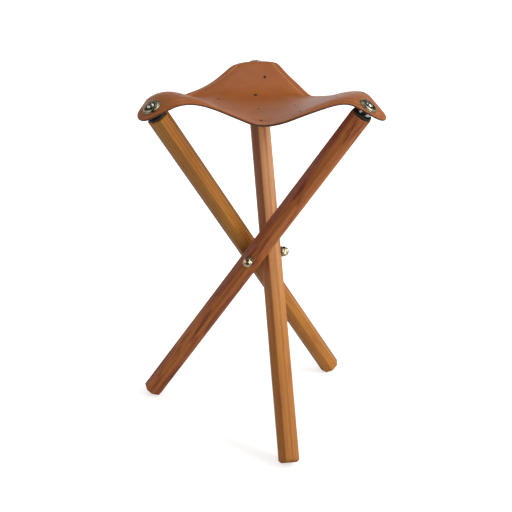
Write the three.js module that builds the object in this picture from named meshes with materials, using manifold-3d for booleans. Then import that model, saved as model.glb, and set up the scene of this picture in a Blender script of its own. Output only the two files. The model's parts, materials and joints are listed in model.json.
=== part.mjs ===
import * as THREE from 'three';
import { mergeVertices } from 'three/addons/utils/BufferGeometryUtils.js';
import Module from 'manifold-3d';

// Folding tripod stool. Three octagonal legs cross on a three-armed bolt and carry a leather seat.
// Lengths are in millimetres, +Z is up, and the origin is the middle of the bounding box on the floor.

// Legs, named counted from the back by thirds of a turn
const LEG_NAMES = ['back', 'left', 'right'];
const LEG_LENGTH = 580;
const LEG_ABOVE_BOLT = 275.5;
const LEG_ACROSS_FLATS = 28.4;
const LEG_EDGE_RADIUS = 1.2;
const FOOT_CHAMFER = 3.5;
const LEG_TOP_CHAMFER = 0.8;
const SPLAY_DEGREES = 34;
const FIRST_TOP_DEGREES = 90;

// Three-way bolt, its washers and nuts
const BOLT_DIAMETER = 8;
const BOLT_BALL_DIAMETER = 12;
const BOLT_END_CHAMFER = 0.8;
const BOLT_THREAD_IN_NUT = 6;
const BOLT_HOLE_CLEARANCE = 0.3;
const WASHER_BORE_CLEARANCE = 0.25;
const INNER_WASHER_DIAMETER = 14;
const INNER_WASHER_THICKNESS = 0.8;
const OUTER_WASHER_DIAMETER = 16;
const OUTER_WASHER_THICKNESS = 1.6;
const OUTER_WASHER_CHAMFER = 0.3;
const NUT_ACROSS_FLATS = 13;
const NUT_HEIGHT = 10;
const NUT_HEX_HEIGHT = 5.5;
const NUT_DOME_DIAMETER = 12.4;
const NUT_CHAMFER = 0.7;
const NUT_BORE_CLEARANCE = 0.25;
const NUT_BORE_SPARE = 0.8;

// Ring and collar between a leg and the seat
const RING_DIAMETER = 27;
const RING_THICKNESS = 3.5;
const RING_EDGE_RADIUS = 0.8;
const COLLAR_DIAMETER = 21;
const COLLAR_HEIGHT = 7;
const COLLAR_EDGE_RADIUS = 1;

// Seat screw and its cup washer
const SCREW_DIAMETER = 6;
const SCREW_HOLE_CLEARANCE = 0.3;
const SCREW_IN_LEG = 45;
const SCREW_POINT_LENGTH = 6;
const SCREW_HEAD_DIAMETER = 10.5;
const SCREW_HEAD_RIM = 1;
const SCREW_HEAD_HEIGHT = 3.2;
const SCREW_SOCKET_ACROSS_FLATS = 4;
const SCREW_SOCKET_DEPTH = 2;
const CUP_WASHER_DIAMETER = 26;
const CUP_WASHER_RIM = 0.8;
const CUP_WASHER_CREST_DIAMETER = 19;
const CUP_WASHER_CREST_HEIGHT = 3.2;
const CUP_WASHER_SEAT_DIAMETER = 12.4;
const CUP_WASHER_SEAT_HEIGHT = 1.6;

// Leather seat. The corner reach runs from the hub's axis to a seat screw.
const LEATHER_THICKNESS = 3.5;
const SEAT_SAG = 27;
const LOBE_RADIUS = 20.5;
const CORNER_FLAT_MARGIN = 1;
const LOBE_SETOUT_SHARES = [-0.019, -0.008, 0.014];
const LOBE_SHIFT_SHARES = [0.017, 0.007, -0.047];
const LOBE_DROOP_SHARES = [[1.25, 0.97], [1.29, 2.04], [0.24, 1.13]];
const ARCH_START_SHARES = [0.512, 0.163, 0.149];
const ARCH_DROP_SHARES = [0.032, -0.005, 0.024];
const LOBE_TILT_SHARES = [0.02, -0.005, 0.057];
const SIDE_SAG_SHARES = [0.062, 0.056, 0.077];
const SIDE_BULGE_SHARES = [0.286, -0.016, 0.107];
const SIDE_SKEW_SHARES = [0.089, 0.123, 0.039];

// Gap between pieces that touch
const SEAT_GAP = 0.3;

// Facets
const TURN = 2 * Math.PI;
const QUARTER_TURN = TURN / 4;
const QUARTER_DEGREES = 90;
const LEG_SIDES = 8;
const HEX_SIDES = 6;
const EDGE_STEPS = 3;
const ROUND_STEPS = 26;
const FILLET_STEPS = 2;
const DOME_STEPS = 5;
const LOBE_STEPS = 6;
const SIDE_STEPS = 14;
const SIDE_CROWDING_SHARE = 0.6;
const SHEET_RING_SHARES = [0.2, 0.38, 0.54, 0.66, 0.74, 0.795, 0.832, 0.88, 0.94, 1];
const CUT_OVERRUN = 2;
const SLOPE_PROBE = 0.2;
const SWELL_AT_ITS_PEAK = 27 / 4;
const MERGE_DISTANCE = 1e-4;

// Sizes that follow from the ones above
const SPLAY = THREE.MathUtils.degToRad(SPLAY_DEGREES);
const LEG_BELOW_BOLT = LEG_LENGTH - LEG_ABOVE_BOLT;
const WASHER_BORE_RADIUS = BOLT_DIAMETER / 2 + WASHER_BORE_CLEARANCE;
const BALL_SHOULDER = Math.sqrt((BOLT_BALL_DIAMETER / 2) ** 2 - WASHER_BORE_RADIUS ** 2);
const INNER_WASHER_PLACE = BALL_SHOULDER + SEAT_GAP;
const LEG_INNER_FLAT = INNER_WASHER_PLACE + INNER_WASHER_THICKNESS + SEAT_GAP;
const LEG_AXIS_OFFSET = LEG_INNER_FLAT + LEG_ACROSS_FLATS / 2;
const OUTER_WASHER_PLACE = LEG_INNER_FLAT + LEG_ACROSS_FLATS + SEAT_GAP;
const NUT_PLACE = OUTER_WASHER_PLACE + OUTER_WASHER_THICKNESS + SEAT_GAP;
const BOLT_ARM_LENGTH = NUT_PLACE + BOLT_THREAD_IN_NUT;
const RING_PLACE = LEG_ABOVE_BOLT + SEAT_GAP;
const COLLAR_PLACE = RING_PLACE + RING_THICKNESS + SEAT_GAP;
const LEATHER_PLACE = COLLAR_PLACE + COLLAR_HEIGHT + SEAT_GAP;
const LEATHER_MIDDLE = LEATHER_PLACE + LEATHER_THICKNESS / 2;
const CUP_WASHER_PLACE = LEATHER_PLACE + LEATHER_THICKNESS + SEAT_GAP;
const SCREW_HEAD_PLACE = CUP_WASHER_PLACE + CUP_WASHER_SEAT_HEIGHT + SEAT_GAP;
const SCREW_HOLE_RADIUS = SCREW_DIAMETER / 2 + SCREW_HOLE_CLEARANCE;
const TOP_TWIST = Math.atan2(LEG_ABOVE_BOLT * Math.sin(SPLAY), LEG_AXIS_OFFSET);
const CORNER_OUT = LEATHER_MIDDLE * Math.sin(SPLAY);
const CORNER_HEIGHT = LEATHER_MIDDLE * Math.cos(SPLAY);
const CORNER_REACH = Math.hypot(CORNER_OUT, LEG_AXIS_OFFSET);
const FLAT_RADIUS = COLLAR_DIAMETER / 2 + CORNER_FLAT_MARGIN;
const CORNER_FLAT = FLAT_RADIUS * Math.cos(SPLAY);
const SEAT_CENTRE_HEIGHT = CORNER_HEIGHT - SEAT_SAG;

// Loads the solid library and merges a geometry's shared points into a closed solid facing outward
const wasm = await Module();
wasm.setup();

function solidOf(geometry) {
  const bare = geometry.clone();
  bare.deleteAttribute('normal');
  bare.deleteAttribute('uv');
  const merged = mergeVertices(bare, MERGE_DISTANCE);
  const place = merged.attributes.position;
  const index = merged.index.array;
  const kept = [];
  let volume = 0;
  for (let i = 0; i < index.length; i += 3) {
    const [a, b, c] = index.slice(i, i + 3);
    if (a !== b && b !== c && c !== a) {
      kept.push(a, b, c);
      const [p, q, r] = [a, b, c].map((k) => new THREE.Vector3().fromBufferAttribute(place, k));
      volume += p.dot(q.cross(r));
    }
  }
  const outward = volume < 0 ? kept.reverse() : kept;
  return new wasm.Manifold(new wasm.Mesh({
    numProp: 3,
    vertProperties: new Float32Array(place.array),
    triVerts: new Uint32Array(outward),
  }));
}

function geometryOf(solid) {
  const mesh = solid.getMesh();
  const geometry = new THREE.BufferGeometry();
  geometry.setAttribute('position', new THREE.BufferAttribute(mesh.vertProperties, 3));
  geometry.setIndex(new THREE.BufferAttribute(mesh.triVerts, 1));
  geometry.computeVertexNormals();
  return geometry;
}

// A solid turned about +Z, from a profile of radii and heights that ends on the axis or closes on itself
function turned(profile) {
  const points = profile.map(([radius, height]) => new THREE.Vector2(radius, height));
  const geometry = new THREE.LatheGeometry(points, ROUND_STEPS);
  geometry.rotateX(QUARTER_TURN);
  return solidOf(geometry);
}

// A rod along +Z for cutting holes
function rod(radius, from, to) {
  return turned([[0, from], [radius, from], [radius, to], [0, to]]);
}

// Profile points on an arc, from one angle to another
function arc(centreRadius, centreHeight, radius, from, to, steps) {
  return Array.from({ length: steps + 1 }, (_, i) => {
    const angle = from + (to - from) * i / steps;
    return [centreRadius + radius * Math.cos(angle), centreHeight + radius * Math.sin(angle)];
  });
}

// A flat ring with a bore and rounded outer edges, standing on a height
function roundedRing(bore, radius, thickness, edge, place) {
  return turned([
    [bore, place],
    ...arc(radius - edge, place + edge, edge, -QUARTER_TURN, 0, FILLET_STEPS),
    ...arc(radius - edge, place + thickness - edge, edge, 0, QUARTER_TURN, FILLET_STEPS),
    [bore, place + thickness],
    [bore, place],
  ]);
}

// One outline of a regular polygon with rounded edges and a flat facing +X
function polygon(sides, acrossFlats, edgeRadius, height) {
  const sector = TURN / sides;
  const reach = (acrossFlats / 2 - edgeRadius) / Math.cos(sector / 2);
  const points = [];
  for (let corner = 0; corner < sides; corner += 1) {
    const middle = (corner + 1 / 2) * sector;
    for (let step = 0; step <= EDGE_STEPS; step += 1) {
      const angle = middle + (step / EDGE_STEPS - 1 / 2) * sector;
      points.push(new THREE.Vector3(
        reach * Math.cos(middle) + edgeRadius * Math.cos(angle),
        reach * Math.sin(middle) + edgeRadius * Math.sin(angle),
        height,
      ));
    }
  }
  return points;
}

// A solid through outlines of equal point counts, stacked upward and closed by flat ends
function loft(outlines) {
  const size = outlines[0].length;
  const last = (outlines.length - 1) * size;
  const points = outlines.flat();
  const centres = [outlines[0], outlines[outlines.length - 1]].map((outline) => {
    const sum = outline.reduce((total, point) => total.add(point), new THREE.Vector3());
    return sum.divideScalar(size);
  });
  const bottom = points.length;
  const top = bottom + 1;
  points.push(...centres);
  const faces = [];
  for (let i = 0; i < size; i += 1) {
    const next = (i + 1) % size;
    for (let ring = 0; ring < last; ring += size) {
      faces.push(ring + i, ring + next, ring + size + next);
      faces.push(ring + i, ring + size + next, ring + size + i);
    }
    faces.push(bottom, next, i);
    faces.push(top, last + i, last + next);
  }
  const geometry = new THREE.BufferGeometry().setFromPoints(points);
  geometry.setIndex(faces);
  return solidOf(geometry);
}

// A bar of flat sides along +Z with a chamfer at each end
function sidedBar(sides, acrossFlats, edgeRadius, from, to, lowerChamfer, upperChamfer) {
  return loft([
    polygon(sides, acrossFlats - 2 * lowerChamfer, edgeRadius, from),
    polygon(sides, acrossFlats, edgeRadius, from + lowerChamfer),
    polygon(sides, acrossFlats, edgeRadius, to - upperChamfer),
    polygon(sides, acrossFlats - 2 * upperChamfer, edgeRadius, to),
  ]);
}

// A solid about +Z, turned to lie about +X
function alongX(solid) {
  return solid.rotate([0, QUARTER_DEGREES, 0]);
}

// Leg, along +Z with the bolt's hole at height 0
function legSolid() {
  const bar = sidedBar(
    LEG_SIDES, LEG_ACROSS_FLATS, LEG_EDGE_RADIUS,
    -LEG_BELOW_BOLT, LEG_ABOVE_BOLT,
    FOOT_CHAMFER, LEG_TOP_CHAMFER,
  );
  const holeRadius = BOLT_DIAMETER / 2 + BOLT_HOLE_CLEARANCE;
  const reach = LEG_ACROSS_FLATS / 2 + CUT_OVERRUN;
  const boltHole = alongX(rod(holeRadius, -reach, reach));
  const pilotDepth = SCREW_IN_LEG + SEAT_GAP;
  const pilotHole = rod(SCREW_HOLE_RADIUS, LEG_ABOVE_BOLT - pilotDepth, LEG_ABOVE_BOLT + CUT_OVERRUN);
  return bar.subtract(boltHole).subtract(pilotHole);
}

// Three-way bolt: one arm for each leg on a ball
function boltArm() {
  const radius = BOLT_DIAMETER / 2;
  return alongX(turned([
    [0, 0],
    [radius, 0],
    [radius, BOLT_ARM_LENGTH - BOLT_END_CHAMFER],
    [radius - BOLT_END_CHAMFER, BOLT_ARM_LENGTH],
    [0, BOLT_ARM_LENGTH],
  ]));
}

function boltSolid() {
  const ball = arc(0, 0, BOLT_BALL_DIAMETER / 2, -QUARTER_TURN, QUARTER_TURN, 2 * DOME_STEPS);
  let bolt = turned(ball);
  LEG_NAMES.forEach((name, number) => {
    bolt = bolt.add(boltArm().rotate([0, 0, THREE.MathUtils.radToDeg(boltAngle(number))]));
  });
  return bolt;
}

function innerWasherSolid() {
  const edge = INNER_WASHER_THICKNESS / 4;
  return alongX(roundedRing(
    WASHER_BORE_RADIUS, INNER_WASHER_DIAMETER / 2, INNER_WASHER_THICKNESS, edge, INNER_WASHER_PLACE,
  ));
}

function outerWasherSolid() {
  return alongX(roundedRing(
    WASHER_BORE_RADIUS, OUTER_WASHER_DIAMETER / 2, OUTER_WASHER_THICKNESS, OUTER_WASHER_CHAMFER,
    OUTER_WASHER_PLACE,
  ));
}

// Cap nut: a chamfered hexagon, a low dome on it and a blind bore for the bolt's end
function capNutSolid() {
  const edge = NUT_CHAMFER / 2;
  const hex = sidedBar(
    HEX_SIDES, NUT_ACROSS_FLATS, edge,
    NUT_PLACE, NUT_PLACE + NUT_HEX_HEIGHT,
    NUT_CHAMFER / 2, NUT_CHAMFER,
  );
  const domeRadius = NUT_DOME_DIAMETER / 2;
  const domeBase = NUT_PLACE + NUT_HEX_HEIGHT;
  const domeHeight = NUT_HEIGHT - NUT_HEX_HEIGHT;
  const dome = arc(0, 0, 1, 0, QUARTER_TURN, DOME_STEPS).map(([across, up]) => [
    domeRadius * across, domeBase + domeHeight * up,
  ]);
  const cap = turned([[0, NUT_PLACE + NUT_CHAMFER], [domeRadius, NUT_PLACE + NUT_CHAMFER], ...dome]);
  const boreDepth = BOLT_THREAD_IN_NUT + NUT_BORE_SPARE;
  const boreRadius = BOLT_DIAMETER / 2 + NUT_BORE_CLEARANCE;
  const bore = rod(boreRadius, NUT_PLACE - CUT_OVERRUN, NUT_PLACE + boreDepth);
  return alongX(hex.add(cap).subtract(bore));
}

function rubberRingSolid() {
  return roundedRing(
    SCREW_HOLE_RADIUS, RING_DIAMETER / 2, RING_THICKNESS, RING_EDGE_RADIUS, RING_PLACE,
  );
}

function collarSolid() {
  return roundedRing(
    SCREW_HOLE_RADIUS, COLLAR_DIAMETER / 2, COLLAR_HEIGHT, COLLAR_EDGE_RADIUS, COLLAR_PLACE,
  );
}

// Cup washer: a thin rim that swells to a crest and falls to the screw head's seat
function cupWasherSolid() {
  const crest = CUP_WASHER_CREST_DIAMETER / 2;
  const swell = arc(0, 0, 1, 0, TURN / 2, 2 * DOME_STEPS).map(([across, up]) => {
    const outside = across > 0;
    const width = outside ? CUP_WASHER_DIAMETER / 2 - crest : crest - CUP_WASHER_SEAT_DIAMETER / 2;
    const foot = outside ? CUP_WASHER_RIM : CUP_WASHER_SEAT_HEIGHT;
    return [
      crest + width * across,
      CUP_WASHER_PLACE + foot + (CUP_WASHER_CREST_HEIGHT - foot) * up,
    ];
  });
  return turned([
    [SCREW_HOLE_RADIUS, CUP_WASHER_PLACE],
    [CUP_WASHER_DIAMETER / 2, CUP_WASHER_PLACE],
    ...swell,
    [SCREW_HOLE_RADIUS, CUP_WASHER_PLACE + CUP_WASHER_SEAT_HEIGHT],
    [SCREW_HOLE_RADIUS, CUP_WASHER_PLACE],
  ]);
}

// Seat screw: a pointed shank and a button head with a hexagonal socket
function seatScrewSolid() {
  const shank = SCREW_DIAMETER / 2;
  const point = LEG_ABOVE_BOLT - SCREW_IN_LEG;
  const head = SCREW_HEAD_DIAMETER / 2;
  const crown = SCREW_HEAD_HEIGHT - SCREW_HEAD_RIM;
  const button = arc(0, 0, 1, 0, QUARTER_TURN, DOME_STEPS).map(([across, up]) => [
    head * across, SCREW_HEAD_PLACE + SCREW_HEAD_RIM + crown * up,
  ]);
  const body = turned([
    [0, point],
    [shank, point + SCREW_POINT_LENGTH],
    [shank, SCREW_HEAD_PLACE],
    [head, SCREW_HEAD_PLACE],
    ...button,
  ]);
  const socketFloor = SCREW_HEAD_PLACE + SCREW_HEAD_HEIGHT - SCREW_SOCKET_DEPTH;
  const edge = SCREW_SOCKET_ACROSS_FLATS / 10;
  const socket = sidedBar(
    HEX_SIDES, SCREW_SOCKET_ACROSS_FLATS, edge,
    socketFloor, SCREW_HEAD_PLACE + SCREW_HEAD_HEIGHT + CUT_OVERRUN,
    edge, edge,
  );
  return body.subtract(socket);
}

// Direction of a leg's bolt arm, seen from above
function boltAngle(number) {
  const top = THREE.MathUtils.degToRad(FIRST_TOP_DEGREES) + number * TURN / LEG_NAMES.length;
  return top - TOP_TWIST;
}

function smooth(share) {
  return share * share * (3 - 2 * share);
}

// Height that one corner adds to the seat above its centre, and the droop of the lobe's edges
function cornerHeight(number, x, y) {
  const angle = boltAngle(number);
  const out = -x * Math.sin(angle) + y * Math.cos(angle);
  const across = x * Math.cos(angle) + y * Math.sin(angle);
  const start = ARCH_START_SHARES[number] * CORNER_REACH;
  const end = CORNER_OUT - CORNER_FLAT;
  const slope = Math.tan(SPLAY);
  const share = THREE.MathUtils.clamp((out - start) / (end - start), 0, 1);
  const rise = CORNER_HEIGHT + CORNER_FLAT * slope - SEAT_CENTRE_HEIGHT;
  const bend = (end - start) * slope * share * share * (1 - share);
  const fall = slope * Math.max(out - end, 0);
  const off = across - LEG_AXIS_OFFSET * share;
  const beside = Math.max(Math.abs(off) - FLAT_RADIUS, 0);
  const [before, after] = LOBE_DROOP_SHARES[number];
  const droop = (off < 0 ? before : after) * beside * beside / CORNER_REACH * smooth(share) ** 2;
  const swell = share * share * (1 - share) * SWELL_AT_ITS_PEAK;
  const tilt = LOBE_TILT_SHARES[number] * off * swell;
  const drop = ARCH_DROP_SHARES[number] * CORNER_REACH * swell * swell;
  return rise * smooth(share) + bend - fall - droop + tilt - drop;
}

// Height of the leather's middle layer above the bolt
function seatHeight(x, y) {
  let height = SEAT_CENTRE_HEIGHT;
  const third = TURN / LEG_NAMES.length;
  const around = Math.atan2(y, x);
  const reach = Math.hypot(x, y);
  LEG_NAMES.forEach((name, number) => {
    height += cornerHeight(number, x, y);
    const side = THREE.MathUtils.degToRad(FIRST_TOP_DEGREES) + (number + 1 / 2) * third;
    const apart = Math.abs(Math.atan2(Math.sin(around - side), Math.cos(around - side)));
    const near = apart < third / 2 ? Math.cos(apart * TURN / (2 * third)) ** 2 : 0;
    height -= SIDE_SAG_SHARES[number] * reach * reach / CORNER_REACH * near;
  });
  return height;
}

// Middle of a corner's rounded lobe in plan, out past its screw and to one side of it
function lobeCentre(number) {
  const out = CORNER_REACH * (1 + LOBE_SETOUT_SHARES[number]);
  const aside = -CORNER_REACH * LOBE_SHIFT_SHARES[number];
  return new THREE.Vector2(out, aside).rotateAround(new THREE.Vector2(), lobeAngle(number));
}

// Direction in plan from the hub's axis to a seat screw
function lobeAngle(number) {
  return boltAngle(number) + Math.atan2(CORNER_OUT, LEG_AXIS_OFFSET);
}

// Outline of the seat in plan: a rounded lobe at each corner, joined by bulging sides
function seatOutline() {
  const points = [];
  const third = TURN / LEG_NAMES.length;
  LEG_NAMES.forEach((name, number) => {
    const lobe = lobeAngle(number);
    const centre = lobeCentre(number);
    for (let i = 0; i < LOBE_STEPS; i += 1) {
      const angle = lobe + (i / LOBE_STEPS - 1 / 2) * third;
      points.push(new THREE.Vector2(LOBE_RADIUS, 0).rotateAround(new THREE.Vector2(), angle).add(centre));
    }
    const outward = new THREE.Vector2(1, 0).rotateAround(new THREE.Vector2(), lobe + third / 2);
    const from = centre.clone().addScaledVector(outward, LOBE_RADIUS);
    const to = lobeCentre((number + 1) % LEG_NAMES.length).addScaledVector(outward, LOBE_RADIUS);
    for (let i = 0; i < SIDE_STEPS; i += 1) {
      const even = i / SIDE_STEPS;
      const share = even - SIDE_CROWDING_SHARE * Math.sin(TURN * even) / TURN;
      const lean = SIDE_SKEW_SHARES[number] * (2 * share - 1);
      const bulge = (SIDE_BULGE_SHARES[number] + lean) * CORNER_REACH * Math.sin(Math.PI * share) ** 2;
      points.push(from.clone().lerp(to, share).addScaledVector(outward, bulge));
    }
  });
  return points;
}

// A point of the leather, on the face to the given side of its middle layer
function leatherPoint(x, y, side) {
  const slopeX = (seatHeight(x + SLOPE_PROBE, y) - seatHeight(x - SLOPE_PROBE, y)) / (2 * SLOPE_PROBE);
  const slopeY = (seatHeight(x, y + SLOPE_PROBE) - seatHeight(x, y - SLOPE_PROBE)) / (2 * SLOPE_PROBE);
  const normal = new THREE.Vector3(-slopeX, -slopeY, 1).normalize();
  const middle = new THREE.Vector3(x, y, seatHeight(x, y));
  return middle.addScaledVector(normal, side * LEATHER_THICKNESS / 2);
}

// Two triangles for a patch with four corners, split along its shorter diagonal
function patch(points, [a, b, c, d]) {
  const split = points[a].distanceTo(points[c]) < points[b].distanceTo(points[d]);
  return split ? [a, b, c, a, c, d] : [a, b, d, b, c, d];
}

// Leather seat: rings of points on both faces, closed round the edge, with a hole for each screw
function seatSolid() {
  const outline = seatOutline();
  const size = outline.length;
  const rings = SHEET_RING_SHARES.length;
  const points = [];
  for (const side of [1, -1]) {
    points.push(leatherPoint(0, 0, side));
    for (const share of SHEET_RING_SHARES) {
      points.push(...outline.map(({ x, y }) => leatherPoint(x * share, y * share, side)));
    }
  }
  const lower = 1 + rings * size;
  const faces = [];
  for (let i = 0; i < size; i += 1) {
    const next = (i + 1) % size;
    faces.push(0, 1 + i, 1 + next);
    faces.push(lower, lower + 1 + next, lower + 1 + i);
    for (let ring = 0; ring < rings - 1; ring += 1) {
      const inner = 1 + ring * size;
      const outer = inner + size;
      const quad = [inner + i, outer + i, outer + next, inner + next];
      faces.push(...patch(points, quad));
      faces.push(...patch(points, quad.map((corner) => lower + corner).reverse()));
    }
    const edge = 1 + (rings - 1) * size;
    faces.push(...patch(points, [edge + i, lower + edge + i, lower + edge + next, edge + next]));
  }
  const geometry = new THREE.BufferGeometry().setFromPoints(points);
  geometry.setIndex(faces);
  let sheet = solidOf(geometry);
  LEG_NAMES.forEach((name, number) => {
    const hole = rod(SCREW_HOLE_RADIUS, COLLAR_PLACE, SCREW_HEAD_PLACE + CUT_OVERRUN);
    const leaned = hole.translate([LEG_AXIS_OFFSET, 0, 0]).rotate([-SPLAY_DEGREES, 0, 0]);
    sheet = sheet.subtract(leaned.rotate([0, 0, THREE.MathUtils.radToDeg(boltAngle(number))]));
  });
  return sheet;
}

// Materials
function material(color, roughness, metalness) {
  return new THREE.MeshStandardMaterial({ color, roughness, metalness });
}

const varnishedWood = () => material(0x9a5a32, 0.4, 0);
const tanLeather = () => material(0x9c5a34, 0.5, 0);
const zincSteel = () => material(0x8f9092, 0.35, 1);
const nickel = () => material(0xb3a686, 0.2, 1);
const polishedSteel = () => material(0xc8c6c0, 0.15, 1);
const blackRubber = () => material(0x1b1b1c, 0.7, 0);

function piece(name, solid, finish) {
  const mesh = new THREE.Mesh(geometryOf(solid), finish);
  mesh.name = name;
  return mesh;
}

// What stands on one arm of the bolt: the washers and the nut
function armGroup(name, number) {
  const group = new THREE.Group();
  group.rotation.z = boltAngle(number);
  group.add(
    piece(`inner_washer_${name}`, innerWasherSolid(), zincSteel()),
    piece(`outer_washer_${name}`, outerWasherSolid(), zincSteel()),
    piece(`cap_nut_${name}`, capNutSolid(), nickel()),
  );
  return group;
}

// A leg with what is screwed to its top, leaning across its arm of the bolt
function legGroup(name, number) {
  const leaning = new THREE.Group();
  leaning.position.x = LEG_AXIS_OFFSET;
  leaning.rotation.x = -SPLAY;
  leaning.add(
    piece(`leg_${name}`, legSolid(), varnishedWood()),
    piece(`rubber_ring_${name}`, rubberRingSolid(), blackRubber()),
    piece(`polished_collar_${name}`, collarSolid(), polishedSteel()),
    piece(`cup_washer_${name}`, cupWasherSolid(), nickel()),
    piece(`seat_screw_${name}`, seatScrewSolid(), polishedSteel()),
  );
  const group = new THREE.Group();
  group.rotation.z = boltAngle(number);
  group.add(leaning);
  return group;
}

// The whole stool, first about the bolt's centre, then moved to stand on the floor
const stool = new THREE.Group();
stool.add(piece('three_way_bolt', boltSolid(), zincSteel()));
LEG_NAMES.forEach((name, number) => {
  stool.add(armGroup(name, number), legGroup(name, number));
});
stool.add(piece('leather_seat', seatSolid(), tanLeather()));
stool.updateMatrixWorld(true);
const reach = new THREE.Box3().setFromObject(stool, true);
const middle = reach.getCenter(new THREE.Vector3());
stool.position.set(-middle.x, -middle.y, -reach.min.z);

export default stool;
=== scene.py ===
import json
import math

import bpy
import numpy as np
from mathutils import Matrix, Quaternion, Vector
from mathutils.geometry import delaunay_2d_cdt

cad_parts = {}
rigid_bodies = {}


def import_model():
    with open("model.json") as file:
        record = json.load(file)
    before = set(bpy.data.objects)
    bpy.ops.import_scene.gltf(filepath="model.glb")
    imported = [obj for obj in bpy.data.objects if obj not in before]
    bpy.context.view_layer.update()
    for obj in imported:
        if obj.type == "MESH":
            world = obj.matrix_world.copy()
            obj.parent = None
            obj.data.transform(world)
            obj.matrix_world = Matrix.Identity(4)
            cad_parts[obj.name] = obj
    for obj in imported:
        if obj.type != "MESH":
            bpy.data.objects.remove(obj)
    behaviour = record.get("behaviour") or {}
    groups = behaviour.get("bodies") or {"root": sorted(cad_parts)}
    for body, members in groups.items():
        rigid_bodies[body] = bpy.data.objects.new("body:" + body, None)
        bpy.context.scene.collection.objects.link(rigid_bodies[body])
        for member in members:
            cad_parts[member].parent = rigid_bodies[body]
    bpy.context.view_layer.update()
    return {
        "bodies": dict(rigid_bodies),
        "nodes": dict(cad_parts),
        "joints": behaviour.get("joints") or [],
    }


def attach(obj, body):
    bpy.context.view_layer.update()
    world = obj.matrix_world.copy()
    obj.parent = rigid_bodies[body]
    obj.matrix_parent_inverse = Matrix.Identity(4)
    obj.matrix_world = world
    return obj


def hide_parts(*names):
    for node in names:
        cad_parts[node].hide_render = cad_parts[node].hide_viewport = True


# Looks of a folding tripod stool. Sizes are in millimetres unless a comment says otherwise,
# and objects are made in metres.
MM = 0.001
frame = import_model()
HUB = Vector(frame["joints"][0]["pos_m"])

# Sizes of the model, as its solids have them
LEG_NAMES = ("back", "left", "right")
TURN = 2 * math.pi
THIRD = TURN / 3
SPLAY = math.radians(34)
LEG_AXIS_OFFSET = 19.8353
LEG_ABOVE_BOLT = 275.5
LEG_BELOW_BOLT = 304.5
LEG_ACROSS_FLATS = 28.4
LEATHER_MIDDLE = 288.65
LEATHER_THICKNESS = 3.5
OUTER_WASHER_PLACE = 34.335
NUT_PLACE = 36.235
RING_PLACE = 275.8
COLLAR_PLACE = 279.6
CUP_WASHER_PLACE = 290.7
SCREW_HEAD_PLACE = 292.6
SCREW_HOLE_RADIUS = 3.3

CORNER_OUT = LEATHER_MIDDLE * math.sin(SPLAY)
CORNER_UP = LEATHER_MIDDLE * math.cos(SPLAY)
CORNER_REACH = math.hypot(CORNER_OUT, LEG_AXIS_OFFSET)
TOP_TWIST = math.atan2(LEG_ABOVE_BOLT * math.sin(SPLAY), LEG_AXIS_OFFSET)
SEAT_DROP = 27.0
SEAT_CENTRE = CORNER_UP - SEAT_DROP
FLAT_RADIUS = 11.5
LOBE_RADIUS = 20.5
LOBE_SETOUT = (-0.019, -0.008, 0.014)
LOBE_SHIFT = (0.017, 0.007, -0.047)
LOBE_DROOP = ((1.25, 0.97), (1.29, 2.04), (0.24, 1.13))
ARCH_START = (0.512, 0.163, 0.149)
ARCH_DROP = (0.032, -0.005, 0.024)
LOBE_TILT = (0.02, -0.005, 0.057)
SIDE_SAG = (0.062, 0.056, 0.077)
SIDE_BULGE = (0.286, -0.016, 0.107)
SIDE_SKEW = (0.089, 0.123, 0.039)


def bolt_angle(number):
    return math.radians(90) + number * THIRD - TOP_TWIST


def arm_matrix(number):
    """From an arm's own frame, +Z along the arm, to the model's."""
    turn = Matrix.Rotation(bolt_angle(number), 4, "Z") @ Matrix.Rotation(math.radians(90), 4, "Y")
    return Matrix.Translation(HUB) @ turn @ Matrix.Scale(MM, 4)


def leg_matrix(number):
    """From a leg's own frame, +Z along the leg and the bolt at height 0, to the model's."""
    lean = Matrix.Translation((LEG_AXIS_OFFSET, 0, 0)) @ Matrix.Rotation(-SPLAY, 4, "X")
    turn = Matrix.Rotation(bolt_angle(number), 4, "Z")
    return Matrix.Translation(HUB) @ Matrix.Scale(MM, 4) @ turn @ lean


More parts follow.
